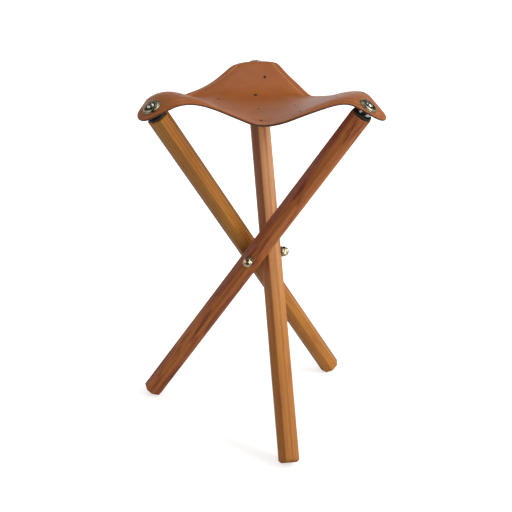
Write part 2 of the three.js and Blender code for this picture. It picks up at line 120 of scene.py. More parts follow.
# Node materials. Patterns are in millimetres on wood and in metres elsewhere, bump depths in metres.
class Shader:
    """A material's node tree, with a short way to add a node and wire its inputs."""

    def __init__(self, name):
        self.material = bpy.data.materials.new(name)
        self.material.use_nodes = True
        self.tree = self.material.node_tree
        self.tree.nodes.clear()

    def node(self, kind, inputs=None, **settings):
        made = self.tree.nodes.new("ShaderNode" + kind)
        for name, value in settings.items():
            setattr(made, name, value)
        for key, value in (inputs or {}).items():
            self.wire(made.inputs[key], value)
        return made

    def wire(self, socket, value):
        if isinstance(value, bpy.types.NodeSocket):
            self.tree.links.new(value, socket)
        else:
            socket.default_value = value

    def math(self, operation, a, b=0.0, clamp=False):
        made = self.node("Math", {0: a, 1: b}, operation=operation, use_clamp=clamp)
        return made.outputs[0]

    def noise(self, vector, scale, detail=3.0, roughness=0.5, distortion=0.0):
        made = self.node("TexNoise", {
            "Vector": vector, "Scale": scale, "Detail": detail,
            "Roughness": roughness, "Distortion": distortion,
        })
        return made.outputs["Fac"]

    def ramp(self, value, *stops):
        made = self.node("ValToRGB", {"Fac": value})
        ramp = made.color_ramp
        while len(ramp.elements) < len(stops):
            ramp.elements.new(1.0)
        for element, (place, colour) in zip(ramp.elements, stops):
            element.position = place
            element.color = (*colour, 1.0)
        return made.outputs["Color"]

    def steps(self, value, low, high):
        made = self.node("MapRange", {
            "Value": value, "From Min": low, "From Max": high, "To Min": 0.0, "To Max": 1.0,
        }, interpolation_type="SMOOTHSTEP", clamp=True)
        return made.outputs["Result"]

    def mix(self, share, a, b, blend="MIX"):
        made = self.node("Mix", {"Factor": share}, data_type="RGBA", blend_type=blend)
        self.wire(made.inputs[6], a if isinstance(a, bpy.types.NodeSocket) else (*a, 1.0))
        self.wire(made.inputs[7], b if isinstance(b, bpy.types.NodeSocket) else (*b, 1.0))
        return made.outputs[2]

    def bump(self, height, distance, strength):
        made = self.node("Bump", {"Height": height, "Distance": distance, "Strength": strength})
        return made.outputs["Normal"]

    def surface(self, **sockets):
        shader = self.node("BsdfPrincipled", {k.replace("_", " "): v for k, v in sockets.items()})
        out = self.node("OutputMaterial", {"Surface": shader.outputs[0]})
        out.location = (400, 0)
        return self.material


def srgb(red, green, blue):
    """Linear colour from 0 to 255 display values."""
    def linear(value):
        share = value / 255
        return share / 12.92 if share <= 0.04045 else ((share + 0.055) / 1.055) ** 2.4
    return linear(red), linear(green), linear(blue)


HALF_FLATS = LEG_ACROSS_FLATS / 2
TINT_REACH = 180.0
FACE_STEP = 45


def wood(name, number, light, dark, streak, head, stain, side, painted_face_shade):
    """Varnished hardwood with its grain along a leg. The head's tint is painted light: it lightens
    and tints the colour toward the leg's top and fades toward the foot. The stain gives how strong the
    reddish streaks are, and the painted face shade tints the two faces that look toward the side's angle
    in degrees, less so toward the foot."""
    s = Shader(name)
    place = leg_matrix(number)
    position = s.node("TexCoord").outputs["Object"]
    local = s.node("Mapping", {
        "Vector": position, "Location": place.to_translation(),
        "Rotation": place.to_euler(), "Scale": (MM, MM, MM),
    }, vector_type="TEXTURE").outputs["Vector"]

    def stretched(across, along, shift):
        return s.node("Mapping", {
            "Vector": local, "Location": (shift, 2 * shift, 3 * shift),
            "Scale": (across, across, along),
        }).outputs["Vector"]

    warp = s.noise(stretched(0.035, 0.0045, 7.3 + number), 1.0, 2.0)
    rings = s.node("TexWave", {
        "Vector": stretched(1.0, 0.012, 31.0 + 9.0 * number), "Scale": 0.07,
        "Distortion": 9.0, "Detail": 3.0, "Detail Scale": 0.22, "Detail Roughness": 0.6,
    }, wave_type="RINGS", rings_direction="Z", wave_profile="SIN").outputs["Fac"]
    fibre = s.noise(stretched(1.3, 0.016, 3.1 * number), 1.0, 4.0, 0.62)
    pores = s.noise(stretched(2.6, 0.10, 11.0 + number), 1.0, 2.0, 0.5)
    patches = s.noise(stretched(0.13, 0.011, 23.0 - 3.0 * number), 1.0, 3.0, 0.6, 0.6)

    figure = s.math("ADD", s.math("MULTIPLY", rings, 0.20), s.math("MULTIPLY", fibre, 0.55))
    figure = s.math("ADD", figure, s.math("MULTIPLY", s.math("SUBTRACT", warp, 0.36), 0.9))
    between = tuple((a + b) / 2 for a, b in zip(light, dark))
    colour = s.ramp(figure, (0.18, dark), (0.50, between), (0.82, light))
    colour = s.mix(s.math("MULTIPLY", s.steps(patches, 0.48, 0.68), stain), colour, streak)
    pore = s.steps(pores, 0.60, 0.70)
    colour = s.mix(s.math("MULTIPLY", pore, 0.45), colour, tuple(0.42 * c for c in dark))

    axis = s.node("SeparateXYZ", {"Vector": local})
    radial = s.math("SQRT", s.math("ADD", s.math("POWER", axis.outputs["X"], 2.0),
                                   s.math("POWER", axis.outputs["Y"], 2.0)))
    ragged = s.math("MULTIPLY", s.math("SUBTRACT", s.noise(stretched(0.25, 0.05, 5.0), 1.0, 4.0), 0.5), 0.6)
    edge = s.steps(s.math("ADD", radial, ragged), HALF_FLATS + 0.75, HALF_FLATS + 1.15)
    foot = s.steps(s.math("SUBTRACT", s.math("MULTIPLY", axis.outputs["Z"], -1.0), ragged),
                   LEG_BELOW_BOLT - 7, LEG_BELOW_BOLT - 1)
    upward = s.steps(axis.outputs["Z"], -TINT_REACH, TINT_REACH)
    painted_shade_mask = 0.0
    for angle in (side, side - FACE_STEP):
        toward = s.math("ADD", s.math("MULTIPLY", axis.outputs["X"], math.cos(math.radians(angle))),
                        s.math("MULTIPLY", axis.outputs["Y"], math.sin(math.radians(angle))))
        toward = s.steps(s.math("ADD", toward, s.math("MULTIPLY", ragged, 0.6)),
                         HALF_FLATS - 1.0, HALF_FLATS - 0.2)
        painted_shade_mask = s.math("MAXIMUM", toward, painted_shade_mask)
    painted_shade_mask = s.math("MULTIPLY", painted_shade_mask, s.math("ADD", s.math("MULTIPLY", upward, 0.8), 0.2))
    # Painted shade: the two faces toward the side's angle are darkened and tinted, most at the top.
    colour = s.mix(painted_shade_mask, colour, s.mix(1.0, colour, painted_face_shade, "MULTIPLY"))
    # Painted light: the colour is lightened and tinted toward the leg's top by the head's tint.
    colour = s.mix(1.0, colour, s.mix(upward, (1.0, 1.0, 1.0), head), "MULTIPLY")
    colour = s.mix(s.math("MULTIPLY", edge, 0.16), colour, tuple(min(1.0, 1.5 * c) for c in light))
    colour = s.mix(s.math("MULTIPLY", foot, 0.45), colour, tuple(0.6 * c for c in dark))

    rough = s.math("ADD", s.math("MULTIPLY", fibre, 0.16), 0.34)
    rough = s.math("ADD", rough, s.math("MULTIPLY", s.math("ADD", edge, foot), 0.12), clamp=True)
    fine = s.math("ADD", s.math("MULTIPLY", fibre, 0.6), s.math("MULTIPLY", pore, -0.8))
    normal = s.bump(fine, 0.00012, 0.5)
    return s.surface(Base_Color=colour, Roughness=rough, Normal=normal, Coat_Weight=0.06,
                     Coat_Roughness=0.28, Specular_IOR_Level=0.2)


def leather(name):
    """Tan saddle leather: smooth grain side, a tooled line with a painted highlight, and burnished edges with
    painted shade round the holes, from the mesh's own marks.
    """
    s = Shader(name)
    position = s.node("TexCoord").outputs["Object"]
    mark = s.node("Attribute", attribute_name="finish_and_painted_light", attribute_type="GEOMETRY").outputs["Vector"]
    marks = s.node("SeparateXYZ", {"Vector": mark})
    burnish_and_hole_shade, groove, flesh = (marks.outputs[k] for k in "XYZ")

    broad = s.noise(position, 14.0, 3.0, 0.55)
    medium = s.noise(position, 75.0, 4.0, 0.6, 0.4)
    fine = s.noise(position, 900.0, 3.0, 0.6)
    cells = s.node("TexVoronoi", {"Vector": position, "Scale": 950.0, "Randomness": 1.0},
                   feature="DISTANCE_TO_EDGE").outputs["Distance"]
    creases = s.node("TexVoronoi", {"Vector": position, "Scale": 130.0, "Randomness": 1.0},
                     feature="DISTANCE_TO_EDGE").outputs["Distance"]

    tan = s.ramp(broad, (0.30, srgb(145, 76, 20)), (0.52, srgb(156, 84, 24)), (0.74, srgb(164, 91, 30)))
    tan = s.mix(s.math("MULTIPLY", s.steps(medium, 0.46, 0.70), 0.30), tan, srgb(138, 66, 26))
    tan = s.mix(s.math("MULTIPLY", s.steps(fine, 0.45, 0.75), 0.10), tan, srgb(176, 104, 54))
    pit = s.math("SUBTRACT", 1.0, s.steps(cells, 0.0, 0.16))
    tan = s.mix(s.math("MULTIPLY", pit, 0.14), tan, srgb(104, 50, 24))
    # Painted highlight: the tooled line is painted lighter than the grain, more toward the back.
    colour = s.mix(s.math("MULTIPLY", groove, 0.62), tan, srgb(214, 158, 112))
    nap = s.steps(s.noise(position, 1600.0, 4.0, 0.7), 0.35, 0.7)
    suede = s.mix(nap, srgb(128, 82, 52), srgb(166, 116, 78))
    colour = s.mix(flesh, colour, suede)
    # Burnished edges; round the holes this darkening is partly painted shade.
    colour = s.mix(burnish_and_hole_shade, colour, s.mix(medium, srgb(44, 28, 22), srgb(66, 40, 28)))

    rough = s.math("ADD", s.math("MULTIPLY", medium, 0.16), 0.30)
    rough = s.math("ADD", rough, s.math("MULTIPLY", flesh, 0.45), clamp=True)
    grain = s.math("ADD", s.math("MULTIPLY", s.steps(cells, 0.0, 0.2), 0.7), s.math("MULTIPLY", fine, 0.5))
    grain = s.math("ADD", grain, s.math("MULTIPLY", s.steps(creases, 0.0, 0.05), 0.25))
    normal = s.bump(grain, 0.00010, 0.55)
    return s.surface(Base_Color=colour, Roughness=rough, Normal=normal, Sheen_Weight=0.05,
                     Sheen_Roughness=0.4, Specular_IOR_Level=0.36)


def metal(name, tint, dull, rough_low, rough_high, dirt):
    """Plated or polished metal with faint scratches, darker dirt in patches, and painted shade in marked
    recesses.
    """
    s = Shader(name)
    position = s.node("TexCoord").outputs["Object"]
    broad = s.noise(position, 120.0, 3.0, 0.5)
    scratch = s.noise(s.node("Mapping", {"Vector": position, "Scale": (1.0, 0.12, 0.6)}).outputs["Vector"],
                      5200.0, 2.0, 0.6)
    colour = s.mix(s.steps(broad, 0.40, 0.72), tint, dull)
    colour = s.mix(s.math("MULTIPLY", s.steps(broad, 0.56, 0.80), dirt), colour, srgb(52, 44, 36))
    shaded_recess = s.node("Attribute", attribute_name="shaded_recess", attribute_type="GEOMETRY").outputs["Fac"]
    # Painted shade: where the mesh marks a recess, the colour is painted near black.
    colour = s.mix(s.math("MULTIPLY", shaded_recess, 0.9), colour, srgb(42, 44, 40))
    span = rough_high - rough_low
    rough = s.math("ADD", s.math("MULTIPLY", s.steps(broad, 0.35, 0.75), span), rough_low)
    rough = s.math("ADD", rough, s.math("MULTIPLY", shaded_recess, 0.15))
    normal = s.bump(scratch, 0.00002, 0.14)
    return s.surface(Base_Color=colour, Roughness=rough, Normal=normal, Metallic=1.0)


def rubber(name):
    """Matt black rubber with a little dust."""
    s = Shader(name)
    position = s.node("TexCoord").outputs["Object"]
    speck = s.noise(position, 1400.0, 4.0, 0.6)
    dust = s.noise(position, 180.0, 4.0, 0.6)
    colour = s.mix(speck, srgb(20, 22, 26), srgb(36, 38, 42))
    colour = s.mix(s.math("MULTIPLY", s.steps(dust, 0.55, 0.75), 0.35), colour, srgb(74, 70, 66))
    rough = s.math("ADD", s.math("MULTIPLY", dust, 0.25), 0.42)
    return s.surface(Base_Color=colour, Roughness=rough, Normal=s.bump(speck, 0.00006, 0.5))


# Head tints are painted light and face tints painted shade: the back leg grows lighter and bluer toward its
# top, and each leg has two tinted faces.
WOODS = {
    "back": wood("wood_back", 0, light=srgb(192, 126, 56), dark=srgb(150, 90, 34), streak=srgb(146, 76, 36),
                 head=(1.50, 1.95, 4.8), stain=0.45, side=225, painted_face_shade=(0.58, 0.46, 0.56)),
    "left": wood("wood_left", 1, light=srgb(202, 134, 56), dark=srgb(148, 90, 34), streak=srgb(146, 80, 40),
                 head=(1.0, 1.0, 0.98), stain=0.5, side=135, painted_face_shade=(0.76, 0.84, 0.98)),
    "right": wood("wood_right", 2, light=srgb(188, 113, 54), dark=srgb(136, 72, 36), streak=srgb(104, 36, 36),
                  head=(1.0, 1.02, 1.02), stain=0.85, side=315, painted_face_shade=(1.0, 0.90, 1.7)),
}
LEATHER = leather("tan_leather_grain")
NICKEL = metal("warm_nickel", srgb(214, 196, 160), srgb(176, 156, 118), 0.10, 0.26, 0.25)
BRASSY = metal("brassy_washer", srgb(164, 158, 130), srgb(128, 128, 108), 0.20, 0.30, 0.15)
ZINC = metal("zinc_plate", srgb(146, 148, 150), srgb(96, 98, 100), 0.28, 0.48, 0.35)
STEEL = metal("bright_steel", srgb(196, 190, 180), srgb(160, 156, 148), 0.12, 0.20, 0.1)
RUBBER = rubber("black_rubber_matt")


# Small turned pieces
ROUND = 72
HEX_CORNER_STEPS = 5
CREASE_DEGREES = 32.0
HOLE_GAP = 0.2
ARM_WASHER_BORE = 4.25
ARM_WASHER_RADIUS = 8.0
ARM_WASHER_THICKNESS = 1.6
ARM_WASHER_EDGE = 0.35
NUT_HEIGHT = 5.5
NUT_TURN = 0.13
# The nut's outlines upward: across flats, corner radius and height
NUT_OUTLINES = (
    (12.2, 0.9, 0.0), (13.0, 0.5, 0.5), (13.0, 0.5, NUT_HEIGHT - 0.9),
    (12.6, 0.9, NUT_HEIGHT - 0.35), (11.9, 1.6, NUT_HEIGHT),
)
NECK_BORE = 5.0
NECK_RADIUS = 6.1
NECK_DEPTH = 1.0
NECK_HEIGHT = 0.2
DOME_RADIUS = 6.15
DOME_START = 0.3
DOME_RISE = 4.2
RING_RADIUS = 13.5
RING_THICKNESS = 3.5
RING_EDGE = 0.8
COLLAR_RADIUS = 10.5
COLLAR_HEIGHT = 7.0
COLLAR_EDGE = 0.7
CUP_RIM_RADIUS = 12.6
CUP_RIM_ROUND = (0.4, 0.35)
CUP_CREST_RADIUS = 9.6
CUP_CREST_FOOT = 0.8
CUP_CREST_ROUND = (2.7, 2.4)
CUP_DISH_HEIGHT = 1.6
CUP_DISH_ROUND = (3.4, 1.6)
RECESS_SHADE_START = 9.0
RECESS_SHADE_FADE = 1.4
SHANK_RADIUS = 3.0
SHANK_LENGTH = 12.0
SHANK_TIP_RADIUS = 2.6
SHANK_TIP_LENGTH = 0.6
HEAD_RADIUS = 5.25
HEAD_FOOT_RADIUS = 4.95
HEAD_EDGE = 0.3
HEAD_SKIRT = 0.8
HEAD_RISE = 2.55
HEAD_QUARTER = 0.68
SOCKET_FLATS = 4.0
SOCKET_CORNER = 0.3
SOCKET_DEPTH = 1.9


def mesh_object(name, points, faces, matrix, material, crease=CREASE_DEGREES):
    """A smooth-shaded object from points in a piece's own frame, sharp past an angle in degrees."""
    mesh = bpy.data.meshes.new(name)
    mesh.from_pydata([tuple(p) for p in points], [], faces)
    mesh.transform(matrix)
    mesh.validate()
    mesh.materials.append(material)
    mesh.shade_smooth()
    mesh.set_sharp_from_angle(angle=math.radians(crease))
    made = bpy.data.objects.new(name, mesh)
    bpy.context.scene.collection.objects.link(made)
    return made


def lathe(profile, closed):
    """Points and faces of a profile of radii and heights turned about +Z. An open one ends on the axis."""
    points, rows = [], []
    for radius, height in profile:
        if radius < 1e-9:
            rows.append([len(points)] * ROUND)
            points.append((0.0, 0.0, height))
        else:
            rows.append(list(range(len(points), len(points) + ROUND)))
            points += [(radius * math.cos(TURN * i / ROUND), radius * math.sin(TURN * i / ROUND), height)
                       for i in range(ROUND)]
    pairs = list(zip(rows, rows[1:]))
    if closed:
        pairs.append((rows[-1], rows[0]))
    faces = []
    for low, high in pairs:
        for i in range(ROUND):
            j = (i + 1) % ROUND
            ring = [low[i], low[j], high[j], high[i]]
            face = [v for k, v in enumerate(ring) if v not in ring[:k]]
            if len(face) > 2:
                faces.append(face)
    return points, faces


def arc(centre, radii, start, end, steps):
    """Profile points on a part of an ellipse, with angles in quarter turns."""
    angles = [(start + (end - start) * i / steps) * TURN / 4 for i in range(steps + 1)]
    return [(centre[0] + radii[0] * math.cos(a), centre[1] + radii[1] * math.sin(a)) for a in angles]


def rounded_ring(bore, radius, low, high, edge):
    """A closed profile: a flat ring with every edge rounded."""
    small = edge / 2
    return (arc((radius - edge, low + edge), (edge, edge), -1, 0, 5)
            + arc((radius - edge, high - edge), (edge, edge), 0, 1, 5)
            + arc((bore + small, high - small), (small, small), 1, 2, 3)
            + arc((bore + small, low + small), (small, small), 2, 3, 3))


def hexagon(across_flats, corner, height, turn=0.0):
    """An outline of a hexagon with rounded corners."""
    reach = (across_flats / 2 - corner) / math.cos(TURN / 12)
    points = []
    for k in range(6):
        middle = (k + 0.5) * TURN / 6 + turn
        for i in range(HEX_CORNER_STEPS + 1):
            angle = middle + (i / HEX_CORNER_STEPS - 0.5) * TURN / 6
            points.append((reach * math.cos(middle) + corner * math.cos(angle),
                           reach * math.sin(middle) + corner * math.sin(angle), height))
    return points


def stacked(outlines):
    """Points and faces of equal outlines stacked upward and closed by flat ends."""
    size = len(outlines[0])
    points = [p for outline in outlines for p in outline]
    faces = [list(range(size))[::-1]]
    for k in range(len(outlines) - 1):
        for i in range(size):
            j = (i + 1) % size
            faces.append([k * size + i, k * size + j, (k + 1) * size + j, (k + 1) * size + i])
    faces.append([(len(outlines) - 1) * size + i for i in range(size)])
    return points, faces


def joined(*parts):
    """Several points and faces as one."""
    points, faces = [], []
    for more_points, more_faces in parts:
        faces += [[v + len(points) for v in face] for face in more_faces]
        points += more_points
    return points, faces


def cap_nut():
    """A hexagon with chamfered corners and a drawn dome on a short neck."""
    top = NUT_PLACE + NUT_HEIGHT
    hexa = stacked([hexagon(across_flats, corner, NUT_PLACE + height, NUT_TURN)
                    for across_flats, corner, height in NUT_OUTLINES])
    spring = top + DOME_START
    foot = top - NECK_DEPTH
    dome = lathe([(NECK_BORE, foot), (NECK_RADIUS, foot), (DOME_RADIUS, top + NECK_HEIGHT)]
                 + arc((0.0, spring), (DOME_RADIUS, DOME_RISE), 0, 1, 12)[:-1]
                 + [(0.0, spring + DOME_RISE)], False)
    return joined(hexa, dome)


def cup_washer():
    """A pressed cup: a thin rim, a rounded crest and a dished seat for the screw head."""
    low = CUP_WASHER_PLACE
    bore = SCREW_HOLE_RADIUS + HOLE_GAP
    return lathe(
        [(bore, low), (CUP_RIM_RADIUS, low)]
        + arc((CUP_RIM_RADIUS, low + CUP_RIM_ROUND[1]), CUP_RIM_ROUND, -1, 1, 6)
        + arc((CUP_CREST_RADIUS, low + CUP_CREST_FOOT), CUP_CREST_ROUND, 0, 1, 10)
        + arc((CUP_CREST_RADIUS, low + CUP_DISH_HEIGHT), CUP_DISH_ROUND, 1, 2, 10)[1:]
        + [(bore, low + CUP_DISH_HEIGHT)], True)


def screw():
    """A button head with a hexagonal socket, and the plain shank below it."""
    base = SCREW_HEAD_PLACE
    spring = base + HEAD_SKIRT
    tip = base - SHANK_LENGTH
    head = lathe(
        [(SHANK_TIP_RADIUS, tip), (SHANK_RADIUS, tip + SHANK_TIP_LENGTH), (SHANK_RADIUS, base)]
        + [(HEAD_FOOT_RADIUS, base)]
        + arc((HEAD_FOOT_RADIUS, base + HEAD_EDGE), (HEAD_EDGE, HEAD_EDGE), -1, 0, 3)
        + arc((0.0, spring), (HEAD_RADIUS, HEAD_RISE), 0, HEAD_QUARTER, 10), False)
    crown = spring + HEAD_RISE * math.sin(HEAD_QUARTER * TURN / 4)
    outer = len(head[0]) - ROUND
    points, faces = head
    wall = hexagon(SOCKET_FLATS, SOCKET_CORNER, crown)
    floor = hexagon(SOCKET_FLATS, SOCKET_CORNER, crown - SOCKET_DEPTH)
    half = (HEX_CORNER_STEPS + 1) // 2
    wall = wall[half:] + wall[:half]
    floor = floor[half:] + floor[:half]
    start = len(points)
    points += wall + floor
    size = len(wall)
    step = ROUND // size
    for i in range(size):
        j = (i + 1) % size
        a = outer + (i * step) % ROUND
        b = outer + ((i + 1) * step) % ROUND
        middle = outer + (i * step + 1) % ROUND
        faces += [[a, middle, start + j], [middle, b, start + j], [a, start + j, start + i]]
        faces.append([start + i, start + j, start + size + j, start + size + i])
    faces.append([start + size + i for i in range(size)])
    faces.append(list(range(ROUND))[::-1])
    return points, faces


def small_pieces():
    """The turned pieces at each leg's top and on each arm, in place of their solids."""
    for number, name in enumerate(LEG_NAMES):
        leg, arm = leg_matrix(number), arm_matrix(number)
        washer = rounded_ring(ARM_WASHER_BORE, ARM_WASHER_RADIUS, OUTER_WASHER_PLACE,
                              OUTER_WASHER_PLACE + ARM_WASHER_THICKNESS, ARM_WASHER_EDGE)
        ring = rounded_ring(SCREW_HOLE_RADIUS, RING_RADIUS, RING_PLACE,
                            RING_PLACE + RING_THICKNESS, RING_EDGE)
        collar = rounded_ring(SCREW_HOLE_RADIUS, COLLAR_RADIUS, COLLAR_PLACE,
                              COLLAR_PLACE + COLLAR_HEIGHT, COLLAR_EDGE)
        rows = [
            ("outer_washer", lathe(washer, True), arm, ZINC, "zinc_steel", "hub"),
            ("cap_nut", cap_nut(), arm, NICKEL, "nickel", "hub"),
            ("rubber_ring", lathe(ring, True), leg, RUBBER, "black_rubber", name + "_leg"),
            ("polished_collar", lathe(collar, True), leg, STEEL, "polished_steel", name + "_leg"),
            ("cup_washer", cup_washer(), leg, BRASSY, "nickel", name + "_leg"),
            ("seat_screw", screw(), leg, STEEL, "polished_steel", name + "_leg"),
        ]
        for kind, (points, faces), matrix, material, slot, body in rows:
            node = f"{kind}_{name}"
            piece = mesh_object(f"fine_{node}", points, faces, matrix, material)
            if kind == "cup_washer":
                # Painted shade in the cup washer's dish, fading out toward its crest.
                shares = [(RECESS_SHADE_START - math.hypot(x, y)) / RECESS_SHADE_FADE for x, y, z in points]
                deep = [min(max(share, 0.0), 1.0) for share in shares]
                piece.data.attributes.new("shaded_recess", "FLOAT", "POINT").data.foreach_set("value", deep)
            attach(piece, body)
            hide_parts(node)


small_pieces()


# Leather seat
EDGE_ROUNDING = 1.3
SLACK_REACH = 55.0
GROOVE_SETBACK = 9.5
GROOVE_HALF_WIDTH = 0.55
GROOVE_DEPTH = 0.45
# Vent holes: places from the hub, seen from above, and radii
VENT_HOLES = (
    (-55.7, 64.2, 1.5), (-2.2, 76.2, 2.2), (0.4, 6.9, 1.7), (2.4, -61.4, 1.6),
    (12.4, 120.0, 1.4), (52.3, 13.0, 1.5), (53.8, -78.9, 1.6),
)
GRID = 4.2
EDGE_STEP = 1.8
EDGE_RINGS = (0.45, 0.95, 2.4, 4.6, 6.8)
GROOVE_RINGS = (-1.8, -1.1, -0.5, 0, 0.5, 1.1, 1.8)
# How much painted highlight the tooled line shows at least, where it gains toward the back, and over what
# length
GROOVE_HIGHLIGHT_SHOWN = (0.35, 35.0, 50.0)
CREASE_MARGIN = 3.0
HOLE_SIDES = 20
HOLE_RINGS = (1.35, 2.0)
EDGE_LAYERS = 4
# How far from the edge, or from a screw, the easing starts, and over what length it grows
EASE_SETBACK = (4.0, 50.0)
EASE_CORNER = (18.0, 60.0)
# Rings that the easing averages over, as shares of its reach, and their weights
EASE_RINGS = ((0.35, 0.9), (0.7, 0.6), (1.0, 0.3))
EASE_SPOKES = 10
SWELL_AT_ITS_PEAK = 27 / 4
LOBE_STEPS = 30
SIDE_STEPS = 120
PLAN_MARGIN = 25.0
HOLE_KEPT_SHARE = 0.97
SCREW_HOLE_EASE = 0.3
LEATHER_CREASE_DEGREES = 60.0
FAR_AWAY = 1e9
SLOPE_PROBE = 0.3
EDGE_BURN = 0.55
# Round the holes the burn is partly burnished edge and partly painted shade.
HOLE_BURN_AND_SHADE = 0.95


def smooth(share):
    """A share from 0 to 1 eased at both ends."""
    return share * share * (3 - 2 * share)


def seat_height(x, y):
    """Height of the leather's middle layer above the hub, over arrays of places."""
    height = np.full(np.shape(x), SEAT_CENTRE)
    reach, around = np.hypot(x, y), np.arctan2(y, x)
    slope = math.tan(SPLAY)
    end = CORNER_OUT - FLAT_RADIUS * math.cos(SPLAY)
    rise = CORNER_UP + (CORNER_OUT - end) * slope - SEAT_CENTRE
    for number in range(3):
        angle = bolt_angle(number)
        out = -x * math.sin(angle) + y * math.cos(angle)
        across = x * math.cos(angle) + y * math.sin(angle)
        start = ARCH_START[number] * CORNER_REACH
        share = np.clip((out - start) / (end - start), 0, 1)
        off = across - LEG_AXIS_OFFSET * share
        beside = np.maximum(np.abs(off) - FLAT_RADIUS, 0)
        swell = share * share * (1 - share) * SWELL_AT_ITS_PEAK
        height += rise * smooth(share) + (end - start) * slope * share * share * (1 - share)
        height -= slope * np.maximum(out - end, 0)
        height -= np.where(off < 0, *LOBE_DROOP[number]) * beside * beside / CORNER_REACH * smooth(share) ** 2
        height += LOBE_TILT[number] * off * swell - ARCH_DROP[number] * CORNER_REACH * swell * swell
        side = math.radians(90) + (number + 0.5) * THIRD
        apart = np.abs(np.arctan2(np.sin(around - side), np.cos(around - side)))
        near = np.where(apart < THIRD / 2, np.cos(np.minimum(apart, THIRD / 2) * 1.5) ** 2, 0)
        height -= SIDE_SAG[number] * reach * reach / CORNER_REACH * near
    return height


def screw_place(number):
    """Where a seat screw stands, seen from above."""
    angle = bolt_angle(number)
    return (LEG_AXIS_OFFSET * math.cos(angle) - CORNER_OUT * math.sin(angle),
            LEG_AXIS_OFFSET * math.sin(angle) + CORNER_OUT * math.cos(angle))


def seat_outline(lobe_steps, side_steps):
    """The panel's edge seen from above: a round lobe at each leg and a side that bulges or dips between."""
    def direction(angle):
        return np.array([math.cos(angle), math.sin(angle)])

    def centre(number):
        angle = bolt_angle(number) + math.atan2(CORNER_OUT, LEG_AXIS_OFFSET)
        out, aside = 1 + LOBE_SETOUT[number], LOBE_SHIFT[number]
        return CORNER_REACH * (out * direction(angle) + aside * direction(angle - TURN / 4))

    points = []
    for number in range(3):
        lobe = bolt_angle(number) + math.atan2(CORNER_OUT, LEG_AXIS_OFFSET)
        for i in range(lobe_steps):
            angle = lobe + (i / lobe_steps - 0.5) * THIRD
            points.append(centre(number) + LOBE_RADIUS * direction(angle))
        outward = direction(lobe + THIRD / 2)
        a = centre(number) + LOBE_RADIUS * outward
        b = centre((number + 1) % 3) + LOBE_RADIUS * outward
        for i in range(side_steps):
            share = i / side_steps
            lean = SIDE_SKEW[number] * (2 * share - 1)
            bulge = (SIDE_BULGE[number] + lean) * CORNER_REACH * math.sin(math.pi * share) ** 2
            points.append(a + (b - a) * share + outward * bulge)
    return np.array(points)


def evenly(points, step):
    """The same closed outline with points at an even distance."""
    closed = np.vstack([points, points[:1]])
    length = np.concatenate([[0], np.cumsum(np.hypot(*np.diff(closed, axis=0).T))])
    count = int(round(length[-1] / step))
    at = np.arange(count) * length[-1] / count
    return np.column_stack([np.interp(at, length, closed[:, k]) for k in (0, 1)])


def inward(points, distance):
    """The outline moved in by a distance along its own normals."""
    along = np.roll(points, -1, 0) - np.roll(points, 1, 0)
    along /= np.hypot(*along.T)[:, None]
    return points + distance * np.column_stack([-along[:, 1], along[:, 0]])


def edge_distance(places, outline):
    """Distance of each place from the outline."""
    a, b = outline, np.roll(outline, -1, 0)
    span = b - a
    best = np.full(len(places), FAR_AWAY)
    for start, run in zip(a, span):
        rel = places - start
        share = np.clip(rel @ run / (run @ run), 0, 1)
        best = np.minimum(best, np.hypot(*(rel - share[:, None] * run).T))
    return best


def inside(places, outline):
    """Whether each place lies within the outline."""
    a, b = outline, np.roll(outline, -1, 0)
    hits = np.zeros(len(places), int)
    for p, q in zip(a, b):
        crosses = (p[1] > places[:, 1]) != (q[1] > places[:, 1])
        with np.errstate(divide="ignore", invalid="ignore"):
            at = p[0] + (places[:, 1] - p[1]) / (q[1] - p[1]) * (q[0] - p[0])
        hits += crosses & (places[:, 0] < at)
    return hits % 2 == 1


def slack_height(x, y, spread):
    """The leather's height averaged over a disc at each place, as hide eases its bends away from the edge."""
    total, weights = seat_height(x, y), 1.0
    for ring, weight in EASE_RINGS:
        for k in range(EASE_SPOKES):
            angle = TURN * (k + ring) / EASE_SPOKES
            aside = ring * spread
            total = total + weight * seat_height(x + aside * math.cos(angle), y + aside * math.sin(angle))
            weights += weight
    return total / weights


def leather_faces(x, y, setback):
    """The grain and flesh sides of the leather over each place, with the tooled line pressed in."""
    probe = SLOPE_PROBE
    corner = np.full(len(x), FAR_AWAY)
    for number in range(3):
        across, along = screw_place(number)
        corner = np.minimum(corner, np.hypot(x - across, y - along))
    free = np.minimum(*(np.clip((away - start) / fade, 0, 1)
                        for away, (start, fade) in ((setback, EASE_SETBACK), (corner, EASE_CORNER))))
    spread = SLACK_REACH * smooth(free)
    gx = (slack_height(x + probe, y, spread) - slack_height(x - probe, y, spread)) / (2 * probe)
    gy = (slack_height(x, y + probe, spread) - slack_height(x, y - probe, spread)) / (2 * probe)
    normal = np.column_stack([-gx, -gy, np.ones(len(x))])
    normal /= np.linalg.norm(normal, axis=1)[:, None]
    middle = np.column_stack([x, y, slack_height(x, y, spread)])
    groove = np.exp(-((setback - GROOVE_SETBACK) / GROOVE_HALF_WIDTH) ** 2)
    half = LEATHER_THICKNESS / 2
    return middle + normal * (half - GROOVE_DEPTH * groove)[:, None], middle - normal * half, groove


